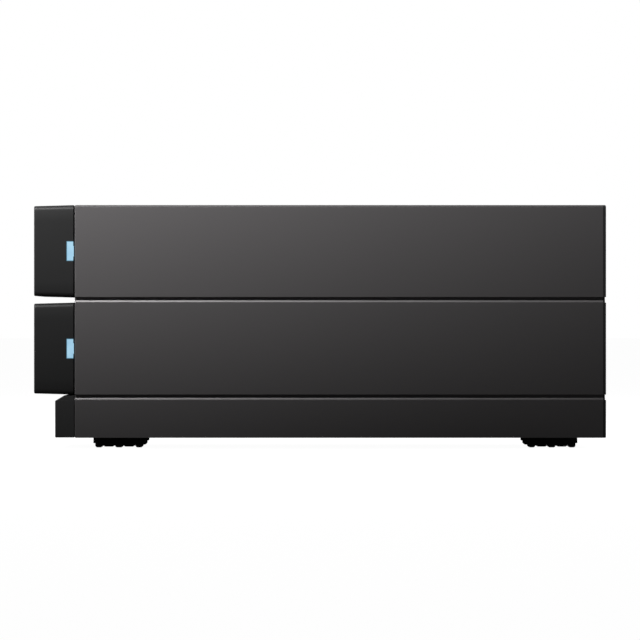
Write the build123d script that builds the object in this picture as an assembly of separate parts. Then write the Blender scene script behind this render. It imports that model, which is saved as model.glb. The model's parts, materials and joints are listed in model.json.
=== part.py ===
from build123d import *
import math
import os

# Two-bay network attached storage for a desk: two drive trays lie one above the other in an
# aluminium shell, and the electronics sit in a low tier underneath.
# Millimetres. +X is to the right seen from the front, the front faces -Y and +Z is up.
# The origin is on the surface that the unit stands on, under the middle of its outline.

# ---- driving dimensions ----
WIDTH = 118.0
DEPTH = 217.0
FOOT_HEIGHT = 3.8
BASE_TIER = 14.3  # height of the electronics tier
BAY_TIER = 34.9  # height of one drive tier
GROOVE = 2.1  # height of the shadow groove between two tiers
GROOVE_DEPTH = 1.4
CHAMFER = (0.5, 0.9)  # across and up, along the groove's lower edge
BEZEL_DEPTH = 14.95  # the tray fronts stand this far out
FRONT_GAP = 0.5  # between a tray front and the shell
REAR_FLANGE = 1.1  # how far the rear panel stands out of the shell
WALL = 2.5  # shell wall
BEZEL_WIDTH = 117.2
BEZEL_CORNER = 1.6  # rounding of a tray front's long corners
BEZEL_DRAFT = 0.4  # how much lower and narrower a tray front's face is on each side
FASCIA_DEPTH = 7.2  # the lower fascia, from its face to its back edge
TRAY_TRAVEL = 158.0  # a tray comes right out

DRIVE_LENGTH, DRIVE_WIDTH, DRIVE_HEIGHT = 147.0, 101.6, 26.1  # a 3.5 inch drive
FAN_SIZE, FAN_DEPTH = 60.0, 20.0

# ---- places worked out from them ----
HALF = WIDTH / 2
Y_FRONT = -DEPTH / 2
Y_BACK = DEPTH / 2
Y_BEZEL_BACK = Y_FRONT + BEZEL_DEPTH
Y_SHELL = Y_BEZEL_BACK + FRONT_GAP
Y_PANEL = Y_BACK - REAR_FLANGE
Z_SHELL = FOOT_HEIGHT
Z_GROOVE_LOW = Z_SHELL + BASE_TIER
Z_BAY_LOW = Z_GROOVE_LOW + GROOVE
Z_GROOVE_HIGH = Z_BAY_LOW + BAY_TIER
Z_BAY_HIGH = Z_GROOVE_HIGH + GROOVE
Z_TOP = Z_BAY_HIGH + BAY_TIER
TIERS = {"lower": Z_BAY_LOW + BAY_TIER / 2, "upper": Z_BAY_HIGH + BAY_TIER / 2}
INNER = HALF - WALL

Z_PLATE = (Z_SHELL + 0.3, Z_SHELL + 1.5)  # base plate
Z_BOARD = (8.0, 9.6)  # main board
Z_CAGE_FLOOR = (19.4, 20.2)
CAGE_X = (INNER - 1.4, INNER - 0.6)  # cage side wall, 0.8 mm sheet
Y_CAGE = (Y_SHELL + 1.2, 83.0)
TRAY_X = (DRIVE_WIDTH / 2 + 0.2, DRIVE_WIDTH / 2 + 1.8)  # tray side wall
DRIVE_Y = (-88.0, -88.0 + DRIVE_LENGTH)
DRIVE_Z = (-DRIVE_HEIGHT / 2, DRIVE_HEIGHT / 2)  # from the tier's middle
SCREW_Y = (DRIVE_Y[1] - 28.5, DRIVE_Y[1] - 130.1)  # the drive's side screw holes
SCREW_Z = DRIVE_Z[0] + 6.35
RIB_Z = DRIVE_Z[0] + 11.9  # foot of a guide channel, from the tier's middle
Y_BACKPLANE = (66.0, 67.6)
FAN_Y = (Y_PANEL - 2.2 - FAN_DEPTH, Y_PANEL - 2.2)
FAN_Z = 57.5
FOOT_SIZE = 19.6
FOOT_X = 38.0
FOOT_Y = {"front": -76.5, "rear": 88.2}
FOOT_TOP = Z_PLATE[0]

LEVER_X = (-49.4, 29.9)
LEVER_HALF = 9.0
LEVER_PIVOT = (-46.8, Y_FRONT + 2.7)
RELEASE_X = (30.7, 43.3)
LOCK_X = 51.0
SOCKET_X = (8.0, 46.0)  # the drive's connector
POWER_X, POWER_Z = 44.0, 11.0
USB_FRONT_X = -42.0
JACK_TOP = {"network": Z_BOARD[1] + 13.5, "usb": Z_BOARD[1] + 15.6, "power": Z_BOARD[1] + 11.0}
JACK_X = {"network_a": -4.0, "network_b": -23.0, "usb": 17.0, "power": 41.0, "reset": 29.5}
Y_JACK = 108.0  # faces of the rear sockets

os.makedirs("parts", exist_ok=True)


# ---- small helpers ----
def block(x, y, z):
    """A box between (low, high) pairs."""
    size = [pair[1] - pair[0] for pair in (x, y, z)]
    middle = [(pair[0] + pair[1]) / 2 for pair in (x, y, z)]
    return Pos(*middle) * Box(*size)


def rod_x(radius, x, y, z):
    return Pos((x[0] + x[1]) / 2, y, z) * Rot(0, 90, 0) * Cylinder(radius, x[1] - x[0])


def rod_y(radius, x, y, z):
    return Pos(x, (y[0] + y[1]) / 2, z) * Rot(90, 0, 0) * Cylinder(radius, y[1] - y[0])


def rod_z(radius, x, y, z):
    return Pos(x, y, (z[0] + z[1]) / 2) * Cylinder(radius, z[1] - z[0])


def cone_y(radius_low, radius_high, x, y, z):
    """A cone along Y whose radius goes from radius_low at y[0] to radius_high at y[1]."""
    size = y[1] - y[0]
    return Pos(x, (y[0] + y[1]) / 2, z) * Rot(-90, 0, 0) * Cone(radius_low, radius_high, size)


def prism_y(points, y):
    """An outline of (x, z) points, extruded along Y."""
    face = Plane(origin=(0, y[0], 0), x_dir=(1, 0, 0), z_dir=(0, -1, 0)) * make_face(
        Polyline(*points, close=True)
    )
    return extrude(face, amount=-(y[1] - y[0]))


def both_sides(shape):
    """The shape and its mirror image across the middle plane."""
    return shape + mirror(shape, about=Plane.YZ)


def spread(centre, count, pitch):
    """Evenly spaced positions about a centre."""
    return [centre + (i - (count - 1) / 2) * pitch for i in range(count)]


def edges_along(shape, axis):
    return shape.edges().filter_by(axis)


def coil(wire, radius, length, turns):
    """A helical spring standing on the XY plane."""
    pitch = (length - 2 * wire) / turns
    path = Pos(0, 0, wire) * Helix(pitch=pitch, height=length - 2 * wire, radius=radius)
    section = Plane(origin=path @ 0, z_dir=path % 0) * Circle(wire)
    return sweep(section, path=path)


def save(name, shape):
    """Writes one sub-part, as its separate solids."""
    solids = list(shape.solids())
    whole = solids[0] if len(solids) == 1 else Compound(children=solids)
    export_step(whole, f"parts/{name}.step")


# ---- enclosure ----
def side_groove(z, y):
    """The cutter for a shadow groove in the right side: a slot, and a chamfer that leads out below it."""
    top = z + GROOVE
    inside = HALF - GROOVE_DEPTH
    edge = (HALF - CHAMFER[0], z + CHAMFER[1])
    points = [(HALF + 1, top), (inside, top), (inside, edge[1]), edge, (HALF, z), (HALF + 1, z)]
    return prism_y(points, y)


def rear_boss(x, z):
    """A screw boss on the shell's inner side wall, with its pilot hole."""
    boss = block((x - 4, INNER + 0.5), (Y_PANEL - 12, Y_PANEL - 2.3), (z - 4, z + 4))
    return boss - rod_y(1.55, x, (Y_PANEL - 13, Y_PANEL), z)


REAR_SCREWS = [(52.4, 34.0), (52.4, 84.0)]


def enclosure_shell():
    outer = block((-HALF, HALF), (Y_SHELL, Y_PANEL), (Z_SHELL, Z_TOP))
    top_edges = outer.edges().filter_by(Axis.Y).group_by(Axis.Z)[-1]
    outer = fillet(top_edges, 0.9)
    outer = chamfer(outer.faces().sort_by(Axis.Y)[0].edges(), 0.35)
    inner = block((-INNER, INNER), (Y_SHELL - 1, Y_PANEL + 1), (Z_SHELL - 1, Z_TOP - WALL))
    inner = fillet(inner.edges().filter_by(Axis.Y).group_by(Axis.Z)[-1], 1.5)
    shell = outer - inner
    lip = block((INNER - 1.6, INNER + 0.5), (Y_SHELL + 2, Y_PANEL - 8), (Z_PLATE[1], Z_PLATE[1] + 1.2))
    shell += both_sides(lip)
    for x, z in REAR_SCREWS:
        shell += both_sides(rear_boss(x, z))
    for z in (Z_GROOVE_LOW, Z_GROOVE_HIGH):
        shell -= both_sides(side_groove(z, (Y_SHELL - 1, Y_PANEL + 1)))
    return shell


BASE_SCREWS = [(x, y) for x in (-51.5, 51.5) for y in (-80.0, 76.0)]
SCREW_SINK = 0.6  # depth of their seats in the base plate
BOARD_BOSSES = [(x, y) for x in (-44.0, 44.0) for y in (-78.0, 0.0, 96.0)]


def base_plate():
    """Sheet steel floor: vent slots, raised bosses for the board and four screw holes."""
    plate = block((-INNER + 0.1, INNER - 0.1), (Y_SHELL + 0.6, Y_PANEL - 2.4), Z_PLATE)
    plate = fillet(edges_along(plate, Axis.Z), 2.0)
    for y in spread(6.0, 12, 7.0):
        for x in (-20.0, 20.0):
            plate -= block((x - 15, x + 15), (y - 1.2, y + 1.2), (Z_PLATE[0] - 1, Z_PLATE[1] + 1))
    for x, y in BOARD_BOSSES:
        plate += rod_z(3.0, x, y, (Z_PLATE[1], Z_BOARD[0]))
    for x, y in BASE_SCREWS:
        plate -= rod_z(1.7, x, y, (Z_PLATE[0] - 1, Z_PLATE[1] + 1))
        plate -= rod_z(2.95, x, y, (Z_PLATE[0] - 1, Z_PLATE[0] + SCREW_SINK))
    return plate


def base_screws():
    """Low head screws from below into the posts, sunk so that they stay inside the sleeve."""
    screws = Part()
    seat = Z_PLATE[0] + SCREW_SINK
    slot_z = (Z_PLATE[0] - 1, Z_PLATE[0] + 0.15)
    for x, y in BASE_SCREWS:
        head = rod_z(2.8, x, y, (Z_PLATE[0] - 0.25, seat))
        head = fillet(head.faces().sort_by(Axis.Z)[0].edges(), 0.3)
        head -= block((x - 2, x + 2), (y - 0.35, y + 0.35), slot_z)
        head -= block((x - 0.35, x + 0.35), (y - 2, y + 2), slot_z)
        screws += head + rod_z(1.4, x, y, (seat, Z_PLATE[1] + 5))
    return screws


def chassis_posts():
    """Hexagonal posts that carry the drive cage over the main board."""
    posts = Part()
    for x, y in BASE_SCREWS:
        hexagon = Pos(x, y, Z_PLATE[1]) * RegularPolygon(3.0, 6)
        post = extrude(hexagon, amount=Z_CAGE_FLOOR[0] - Z_PLATE[1])
        posts += post - rod_z(1.45, x, y, (Z_PLATE[1] - 1, Z_PLATE[1] + 7))
    return posts


def foot(y_centre):
    """Rubber foot: a pad with three narrow and two broad ribs across it."""
    half = FOOT_SIZE / 2
    pad = block((-half, half), (-half, half), (1.6, FOOT_TOP))
    pad = fillet(edges_along(pad, Axis.Z), 2.5)
    body = block((-half + 0.7, half - 0.7), (-half + 0.7, half - 0.7), (0.7, 2.0))
    body = fillet(edges_along(body, Axis.Z), 2.2)
    pad += body
    length = FOOT_SIZE - 3.4
    ribs = [(-7.65, 1.4, 0.0), (-3.85, 2.1, 0.3), (0.0, 1.5, 0.0), (3.85, 2.1, 0.3), (7.65, 1.4, 0.0)]
    for y, half_width, low in ribs:
        rib = block((-length / 2, length / 2), (y - half_width, y + half_width), (low, 1.2))
        pad += fillet(rib.faces().sort_by(Axis.Z)[0].edges().filter_by(Axis.X), 0.85)
    return Pos(0, y_centre, 0) * pad


def front_fascia():
    """Moulded cover in front of the electronics, with a sloping lip under the lower tray."""
    y_face = Y_SHELL - 0.25 - FASCIA_DEPTH
    y_edge = Y_SHELL - 0.25
    half = BEZEL_WIDTH / 2
    z_top = Z_GROOVE_LOW - 0.1
    body = block((-half, half), (y_face, y_edge), (Z_SHELL + 0.1, z_top))
    body = fillet(body.faces().sort_by(Axis.Y)[0].edges(), 0.4)
    body -= block((-half + 1.8, half - 1.8), (y_face + 1.8, y_edge + 1), (Z_SHELL + 1.9, z_top - 1.6))
    lip_z = Z_BAY_LOW - 0.35
    run = (lip_z - z_top) / math.tan(math.radians(31))
    lip_face = Plane(origin=(-half + 0.5, 0, 0), x_dir=(0, 1, 0), z_dir=(1, 0, 0))
    outline = [(y_face + 0.3, z_top), (y_face + 0.3 + run, lip_z), (y_edge, lip_z), (y_edge, z_top)]
    body += extrude(lip_face * make_face(Polyline(*outline, close=True)), amount=BEZEL_WIDTH - 1)
    tube = rod_y(6.2, POWER_X, (y_face + 1, y_edge), POWER_Z)
    body += tube & block((0, half), (y_face, y_edge), (Z_SHELL + 0.1, z_top))
    body -= rod_y(4.65, POWER_X, (y_face - 1, y_edge - 1.2), POWER_Z)
    usb_z = Z_BOARD[1] + 3.0
    usb_x = (USB_FRONT_X - 6.8, USB_FRONT_X + 6.8)
    body -= block(usb_x, (y_face - 1, y_edge + 1), (usb_z - 3.15, usb_z + 3.1))
    for x in (-20.0, 20.0):
        body += block((x - 5, x + 5), (y_edge - 1, y_edge + 5), (Z_PLATE[1], Z_PLATE[1] + 1.4))
        body += block((x - 5, x + 5), (y_edge - 6, y_edge - 1), (Z_SHELL + 1, Z_PLATE[1] + 1.4))
    return body


def power_button():
    y_face = Y_SHELL - 0.25 - FASCIA_DEPTH + 0.15
    cap = rod_y(4.45, POWER_X, (y_face, y_face + 2.4), POWER_Z)
    cap = fillet(cap.faces().sort_by(Axis.Y)[0].edges(), 0.35)
    return cap - rod_y(2.6, POWER_X, (y_face + 1.2, y_face + 2.6), POWER_Z)


def power_button_spring():
    y_start = Y_SHELL - 0.25 - FASCIA_DEPTH + 0.15 + 1.2
    length = Y_SHELL - 0.25 - 1.2 - y_start
    return Pos(POWER_X, y_start, POWER_Z) * Rot(-90, 0, 0) * coil(0.22, 1.9, length, 4)


# ---- rear ----
def slot_rows(y):
    """Exhaust slots inside a circle in front of the fan, as cutters."""
    slots = []
    radius = FAN_SIZE / 2 - 2.5
    for z in spread(0.0, 13, 4.1):
        reach = math.sqrt(radius**2 - z**2)
        for side in (-1, 1):
            ends = sorted((side * 1.2, side * reach))
            slots.append(block(ends, y, (FAN_Z + z - 1.15, FAN_Z + z + 1.15)))
    return slots


def rear_panel():
    """Moulded panel: an outer flange with the tier grooves and a plug that enters the shell."""
    flange = block((-HALF, HALF), (Y_PANEL, Y_BACK), (Z_SHELL, Z_TOP))
    flange = fillet(flange.edges().filter_by(Axis.Y).group_by(Axis.Z)[-1], 0.9)
    flange = chamfer(flange.faces().sort_by(Axis.Y)[-1].edges(), 0.3)
    plug_z = (Z_PLATE[1] + 0.2, Z_TOP - WALL - 0.2)
    plug = block((-INNER + 0.2, INNER - 0.2), (Y_PANEL - 2.2, Y_PANEL), plug_z)
    panel = flange + fillet(plug.edges().filter_by(Axis.Y).group_by(Axis.Z)[-1], 1.5)
    for z in (Z_GROOVE_LOW, Z_GROOVE_HIGH):
        panel -= both_sides(side_groove(z, (Y_PANEL, Y_BACK + 1)))
        panel -= block((-HALF - 1, HALF + 1), (Y_BACK - 0.4, Y_BACK + 1), (z, z + GROOVE))
    panel -= block((-50, 51), (Y_BACK - 0.4, Y_BACK + 1), (7.6, 26.8))
    through = (Y_PANEL - 3, Y_BACK + 1)
    for slot in slot_rows(through):
        panel -= slot
    for x in spread(0.0, 2, 84.0):
        for z in spread(62.0, 6, 4.1):
            panel -= block((x - 6.5, x + 6.5), through, (z - 1.15, z + 1.15))
    for name, half_width in (("network_a", 8.2), ("network_b", 8.2), ("usb", 6.8), ("power", 4.8)):
        top = JACK_TOP[name.split("_")[0]]
        panel -= block((JACK_X[name] - half_width, JACK_X[name] + half_width), through, (9.4, top + 0.25))
    panel -= rod_y(0.9, JACK_X["reset"], through, 14.0)
    panel -= block((-45.5, -42.5), through, (37.0, 44.0))
    for x, z in REAR_SCREWS:
        for side in (-1, 1):
            panel -= rod_y(1.7, side * x, through, z)
            panel -= cone_y(1.7, 3.1, side * x, (Y_BACK - 1.7, Y_BACK + 0.01), z)
    for x in spread(0.0, 2, 50.0):
        for z in spread(FAN_Z, 2, 50.0):
            panel -= rod_y(1.9, x, through, z)
            panel -= cone_y(1.9, 3.3, x, (Y_BACK - 1.7, Y_BACK + 0.01), z)
    return panel


def countersunk_screw(x, z, shank, head, y_tip):
    """A screw entering from behind, its head flush with the panel."""
    top = Y_BACK - 0.1
    screw = cone_y(shank, head, x, (top - 1.5, top), z)
    screw += rod_y(shank, x, (y_tip, top - 1.5), z)
    for turn in (0, 90):
        cross = block((-head * 0.62, head * 0.62), (top - 1.0, top + 1), (-0.32, 0.32))
        screw -= Pos(x, 0, z) * Rot(0, turn, 0) * cross
    return screw


def rear_screws():
    screws = Part()
    for x, z in REAR_SCREWS:
        for side in (-1, 1):
            screws += countersunk_screw(side * x, z, 1.5, 2.85, Y_PANEL - 9)
    return screws


def fan_screws():
    screws = Part()
    for x in spread(0.0, 2, 50.0):
        for z in spread(FAN_Z, 2, 50.0):
            screws += countersunk_screw(x, z, 1.75, 3.0, FAN_Y[1] - 5)
    return screws


# ---- fan ----
def fan_frame():
    """Square frame with the motor base and bearing tube held by four struts."""
    half = FAN_SIZE / 2
    frame = block((-half, half), FAN_Y, (FAN_Z - half, FAN_Z + half))
    frame = fillet(edges_along(frame, Axis.Y), 3.0)
    frame -= rod_y(half - 1.7, 0, (FAN_Y[0] - 1, FAN_Y[1] + 1), FAN_Z)
    base = (FAN_Y[1] - 2.5, FAN_Y[1])
    hub = rod_y(13.5, 0, base, FAN_Z)
    for turn in (45, 135):
        strut = block((-half + 1, half - 1), base, (-1.3, 1.3))
        hub += Pos(0, 0, FAN_Z) * Rot(0, turn, 0) * strut
    frame += hub + rod_y(3.0, 0, (FAN_Y[0] + 4.5, base[0]), FAN_Z)
    frame -= rod_y(1.55, 0, (FAN_Y[0] + 2, base[1] - 0.8), FAN_Z)
    for x in spread(0.0, 2, 50.0):
        for z in spread(FAN_Z, 2, 50.0):
            frame -= rod_y(1.8, x, (FAN_Y[0] - 1, FAN_Y[1] + 1), z)
    return frame


def fan_rotor():
    """Seven blades on a cup that turns over the stator, with its shaft."""
    y_cup = (FAN_Y[0] + 0.8, FAN_Y[1] - 3.2)
    rotor = rod_y(14.3, 0, y_cup, FAN_Z)
    rotor = fillet(rotor.faces().sort_by(Axis.Y)[0].edges(), 1.5)
    rotor -= rod_y(12.9, 0, (y_cup[0] + 1.6, y_cup[1] + 1), FAN_Z)
    tip = FAN_SIZE / 2 - 2.5
    reach = rod_y(tip, 0, y_cup, FAN_Z) - rod_y(13.6, 0, y_cup, FAN_Z)
    blade = Pos(0, 0, 20.5) * Rot(0, 0, 38) * Box(18.5, 1.1, 17.0)
    for i in range(7):
        turned = Rot(0, i * 360 / 7, 0) * blade
        placed = Pos(0, (y_cup[0] + y_cup[1]) / 2, FAN_Z) * turned
        rotor += placed & reach
    return rotor + rod_y(1.5, 0, (y_cup[0] + 1, FAN_Y[1] - 1.2), FAN_Z)


def fan_stator():
    """Wound four-pole core fixed round the bearing tube."""
    y = (FAN_Y[0] + 5.0, FAN_Y[1] - 4.0)
    core = rod_y(5.5, 0, y, FAN_Z)
    for turn in (0, 90, 180, 270):
        pole = block((4.0, 11.0), (y[0] + 1.5, y[1] - 1.5), (-2.2, 2.2))
        shoe = block((9.8, 11.4), y, (-5.2, 5.2))
        core += Pos(0, 0, FAN_Z) * Rot(0, turn, 0) * (pole + shoe)
    return core - rod_y(3.02, 0, (y[0] - 1, y[1] + 1), FAN_Z)


# ---- chassis and boards ----
def drive_cage():
    """Folded sheet: slotted floor, two side walls and a strap over the backplane."""
    cage = block((-CAGE_X[1], CAGE_X[1]), Y_CAGE, Z_CAGE_FLOOR)
    cage += both_sides(block(CAGE_X, Y_CAGE, (Z_CAGE_FLOOR[0], 88.8)))
    cage += block((-CAGE_X[1], CAGE_X[1]), (62.0, 80.0), (88.0, 88.8))
    bar_z = (Z_GROOVE_HIGH - 0.6, Z_BAY_HIGH + 0.6)
    bar = block((-CAGE_X[1], CAGE_X[1]), (Y_SHELL + 0.3, Y_SHELL + 9), bar_z)
    cage += bar - bar.moved(Location((0, 0.8, -0.8))) & bar
    for y in spread(-12.0, 5, 24.0):
        for x in spread(0.0, 3, 30.0):
            slot = block((x - 9, x + 9), (y - 8, y + 8), (Z_CAGE_FLOOR[0] - 1, Z_CAGE_FLOOR[1] + 1))
            cage -= fillet(edges_along(slot, Axis.Z), 3.0)
    z = Z_GROOVE_HIGH + GROOVE / 2
    for y in spread(-12.0, 5, 24.0):
        cage -= block((-HALF, HALF), (y - 8, y + 8), (z - 3.5, z + 3.5))
    cage -= block((-23, 23), (65.2, 68.6), (Z_CAGE_FLOOR[0] - 1, Z_CAGE_FLOOR[1] + 1))
    return cage


def guide_rail(z):
    """Channel on the cage wall that a tray's rib runs in, with a flared mouth."""
    y = (-90.0, 62.0)
    inside = TRAY_X[1] + 0.3
    rail = block((inside, CAGE_X[0]), y, (z + 0.2, z + 7.8))
    rail -= block((inside - 1, CAGE_X[0] - 0.8), (y[0] - 1, y[1] + 1), (z + 2.2, z + 5.8))
    mouth = [(z + 2.2, y[0] + 6), (z + 0.9, y[0] - 1), (z + 7.1, y[0] - 1), (z + 5.8, y[0] + 6)]
    side = Plane(origin=(inside - 1, 0, 0), x_dir=(0, 0, 1), z_dir=(-1, 0, 0))
    flare = extrude(side * make_face(Polyline(*mouth, close=True)), amount=-(CAGE_X[0] - 0.8 - inside + 1))
    return rail - flare


def backplane_board():
    """Upright board that both drives plug into; its tongue goes down into the main board's slot."""
    board = block((-CAGE_X[0] + 0.1, CAGE_X[0] - 0.1), Y_BACKPLANE, (21.2, 87.8))
    board += block((-21, 21), Y_BACKPLANE, (12.0, 22.0))
    for z in (TIERS["lower"] + 6, TIERS["upper"] + 6):
        for x in spread(0.0, 4, 24.0):
            vent = block((x - 9, x + 9), (Y_BACKPLANE[0] - 1, Y_BACKPLANE[1] + 1), (z - 5, z + 5))
            board -= fillet(edges_along(vent, Axis.Y), 2.5)
    return board


def drive_sockets():
    """The two data and power sockets on the backplane."""
    sockets = Part()
    for middle in TIERS.values():
        z = middle + DRIVE_Z[0]
        socket = block(SOCKET_X, (DRIVE_Y[1] - 2.2, Y_BACKPLANE[0]), (z + 2.8, z + 8.0))
        mouth_x = (SOCKET_X[0] + 0.7, SOCKET_X[1] - 0.7)
        socket -= block(mouth_x, (DRIVE_Y[1] - 3, DRIVE_Y[1] + 1.5), (z + 4.3, z + 6.1))
        base_x = (SOCKET_X[0] - 2, SOCKET_X[1] + 2)
        socket += block(base_x, (Y_BACKPLANE[0] - 3, Y_BACKPLANE[0]), (z + 2.2, z + 8.6))
        sockets += socket
    return sockets


def main_board():
    board = block((-47.5, 47.5), (Y_SHELL + 3.5, 104.0), Z_BOARD)
    for x, y in BOARD_BOSSES:
        board -= rod_z(1.3, x, y, (Z_BOARD[0] - 1, Z_BOARD[1] + 1))
    return board


def board_slot():
    """Connector on the main board that takes the backplane's tongue."""
    slot = block((-23.5, 23.5), (63.6, 70.0), (Z_BOARD[1], 15.4))
    return slot - block((-21.2, 21.2), (65.8, 67.8), (11.8, 16))


HEAT_X, HEAT_Y = -8.0, -34.0


def board_components():
    """Processor, memory, controllers, coils, capacitors, clock cell and the reset switch."""
    z = Z_BOARD[1]
    parts = block((HEAT_X - 10, HEAT_X + 10), (HEAT_Y - 10, HEAT_Y + 10), (z, z + 1.4))
    for i in range(4):
        x = HEAT_X + 21 + (i % 2) * 13
        y = HEAT_Y - 8 + (i // 2) * 15
        parts += block((x - 5, x + 5), (y - 6, y + 6), (z, z + 1.1))
    parts += block((-6, 8), (20, 34), (z, z + 1.3))
    parts += block((14, 22), (24, 36), (z, z + 1.2))
    for y in spread(40.0, 4, 13.0):
        parts += fillet(edges_along(block((34, 43), (y - 4.5, y + 4.5), (z, z + 4.5)), Axis.Z), 1.0)
        parts += rod_z(3.1, 29.0, y, (z, z + 7.0))
    parts += rod_z(10.0, -33, 30, (z + 0.6, z + 3.8)) + rod_z(7.0, -33, 30, (z, z + 0.6))
    parts += block((JACK_X["reset"] - 3, JACK_X["reset"] + 3), (97, 103.4), (z, z + 7))
    return parts - rod_y(1.4, JACK_X["reset"], (101.6, 104), 14.0)


def heatsink():
    """Finned block on the processor."""
    z = Z_BOARD[1] + 1.4
    sink = block((HEAT_X - 18, HEAT_X + 11), (HEAT_Y - 17, HEAT_Y + 17), (z, z + 1.6))
    for x in spread(HEAT_X - 3.5, 9, 3.4):
        sink += block((x - 0.45, x + 0.45), (HEAT_Y - 17, HEAT_Y + 17), (z + 1.6, z + 7.6))
    return sink


def network_jack(x):
    """Eight-way network socket with its latch notch and contact comb."""
    z = Z_BOARD[1]
    jack = block((x - 7.95, x + 7.95), (Y_JACK - 21, Y_JACK), (z, JACK_TOP["network"]))
    front = (Y_JACK - 13, Y_JACK + 1)
    jack -= block((x - 5.95, x + 5.95), front, (z + 3.4, z + 11.6))
    jack -= block((x - 3.2, x + 3.2), front, (z + 1.8, z + 3.5))
    return jack


def usb_stack():
    """Two upright-stacked USB sockets in one shield."""
    z = Z_BOARD[1]
    x = JACK_X["usb"]
    stack = block((x - 6.55, x + 6.55), (Y_JACK - 18, Y_JACK), (z, JACK_TOP["usb"]))
    for low in (z + 1.1, z + 9.2):
        stack -= block((x - 6.15, x + 6.15), (Y_JACK - 10, Y_JACK + 1), (low, low + 5.2))
        stack += block((x - 5.5, x + 5.5), (Y_JACK - 10.5, Y_JACK - 1.2), (low + 2.9, low + 4.7))
    return stack


def usb_front_socket():
    z = Z_BOARD[1]
    y_face = Y_SHELL - 0.25 - FASCIA_DEPTH
    socket = block((USB_FRONT_X - 6.55, USB_FRONT_X + 6.55), (y_face + 0.1, y_face + 14), (z, z + 5.9))
    socket -= block((USB_FRONT_X - 6.15, USB_FRONT_X + 6.15), (y_face - 1, y_face + 10), (z + 0.4, z + 5.5))
    tongue_x = (USB_FRONT_X - 5.5, USB_FRONT_X + 5.5)
    return socket + block(tongue_x, (y_face + 1.3, y_face + 10.5), (z + 3.2, z + 5.0))


def power_jack():
    """Barrel socket for the mains adaptor's plug, with its centre pin."""
    x, z = JACK_X["power"], Z_BOARD[1] + 6.2
    jack = block((x - 4.5, x + 4.5), (Y_JACK - 14, Y_JACK), (Z_BOARD[1], JACK_TOP["power"]))
    jack -= rod_y(3.2, x, (Y_JACK - 10.5, Y_JACK + 1), z)
    return jack + rod_y(1.0, x, (Y_JACK - 11, Y_JACK - 1.0), z)


def reset_button():
    """Plunger reached with a pin through the panel."""
    return rod_y(1.25, JACK_X["reset"], (102.3, 104.9), 14.0)


# ---- drive tray, about the tier's middle ----
def tapered_block(width, height, draft, y_face, y_back):
    """A block whose face is smaller than its back by the draft on every side."""
    sections = []
    for y, cut in ((y_back, 0.0), (y_face, draft)):
        plane = Plane(origin=(0, y, 0), x_dir=(1, 0, 0), z_dir=(0, -1, 0))
        sections.append(plane * Rectangle(width - 2 * cut, height - 2 * cut))
    return loft(sections)


def tray_bezel():
    """Moulded tray front: drafted outer skin, lever recess, release well and lock tube."""
    height = BAY_TIER
    skin = tapered_block(BEZEL_WIDTH, height, BEZEL_DRAFT, Y_FRONT, Y_BEZEL_BACK)
    corners = [e for e in skin.edges() if abs(e.center().Y - (Y_FRONT + BEZEL_DEPTH / 2)) < 1]
    skin = fillet(corners, BEZEL_CORNER)
    skin = fillet(skin.faces().sort_by(Axis.Y)[0].edges(), 0.5)
    hollow = tapered_block(BEZEL_WIDTH - 4, height - 4, BEZEL_DRAFT, Y_FRONT + 2, Y_BEZEL_BACK + 1)
    bezel = skin - hollow
    well = (LEVER_X[0] - 1.9, RELEASE_X[1] + 1.9)
    bezel += block(well, (Y_FRONT + 1, Y_FRONT + 11.5), (-LEVER_HALF - 1.7, LEVER_HALF + 1.7))
    bezel += rod_y(5.2, LOCK_X, (Y_FRONT + 1, Y_FRONT + 11.5), 0)
    recess_z = (-LEVER_HALF - 0.3, LEVER_HALF + 0.3)
    bezel -= block((LEVER_X[0] - 0.3, RELEASE_X[1] + 0.3), (Y_FRONT - 1, Y_FRONT + 10), recess_z)
    bezel -= rod_z(1.02, *LEVER_PIVOT, (-LEVER_HALF - 1.5, LEVER_HALF + 1.5))
    bezel -= rod_y(3.58, LOCK_X, (Y_FRONT - 1, Y_FRONT + 12), 0)
    window_y = (Y_BEZEL_BACK - 2.7, Y_BEZEL_BACK + 1)
    bezel -= block((BEZEL_WIDTH / 2 - 3, BEZEL_WIDTH / 2 + 1), window_y, (-3.8, 3.8))
    for x in (-38.0, 38.0):
        for z in (-12.4, 12.4):
            bezel += block((x - 4, x + 4), (Y_FRONT + 1.5, Y_BEZEL_BACK), (z - 1.8, z + 1.8))
    return bezel


def tray_lever():
    """Pull lever: a flush plate with split knuckles and a gripping lip at its free end."""
    y = (Y_FRONT + 0.15, Y_FRONT + 3.3)
    pivot_x, pivot_y = LEVER_PIVOT
    lever = block((pivot_x, LEVER_X[1]), y, (-LEVER_HALF, LEVER_HALF))
    lever += rod_z(2.5, pivot_x, pivot_y, (-LEVER_HALF, LEVER_HALF))
    lever += block((LEVER_X[1] - 3.0, LEVER_X[1]), (y[0], Y_FRONT + 6.0), (-LEVER_HALF, LEVER_HALF))
    for z in (-6.0, 6.0):
        lever += block((pivot_x + 5, LEVER_X[1] - 1), (y[1] - 0.5, y[1] + 1.4), (z - 0.7, z + 0.7))
    lever = fillet(lever.faces().sort_by(Axis.X)[-1].edges().filter_by(Axis.Z).sort_by(Axis.Y)[0], 0.4)
    gap = block((pivot_x - 3, pivot_x + 3.2), (y[0] + 0.8, Y_FRONT + 8), (-3.4, 3.4))
    lever -= gap
    return lever - rod_z(1.08, pivot_x, pivot_y, (-LEVER_HALF - 1, LEVER_HALF + 1))


def lever_pin():
    return rod_z(1.0, *LEVER_PIVOT, (-LEVER_HALF - 1.4, LEVER_HALF + 1.4))


def lever_spring():
    """Torsion spring round the pin: one leg behind the lever, the other on the recess floor."""
    x, y = LEVER_PIVOT
    spring = Pos(x, y, -2.6) * coil(0.22, 1.4, 5.2, 5)
    spring += rod_x(0.22, (x, x + 9), y + 1.4, 1.66)
    return spring + rod_y(0.22, x - 1.4, (y, Y_FRONT + 9.9), -1.95)


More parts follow.
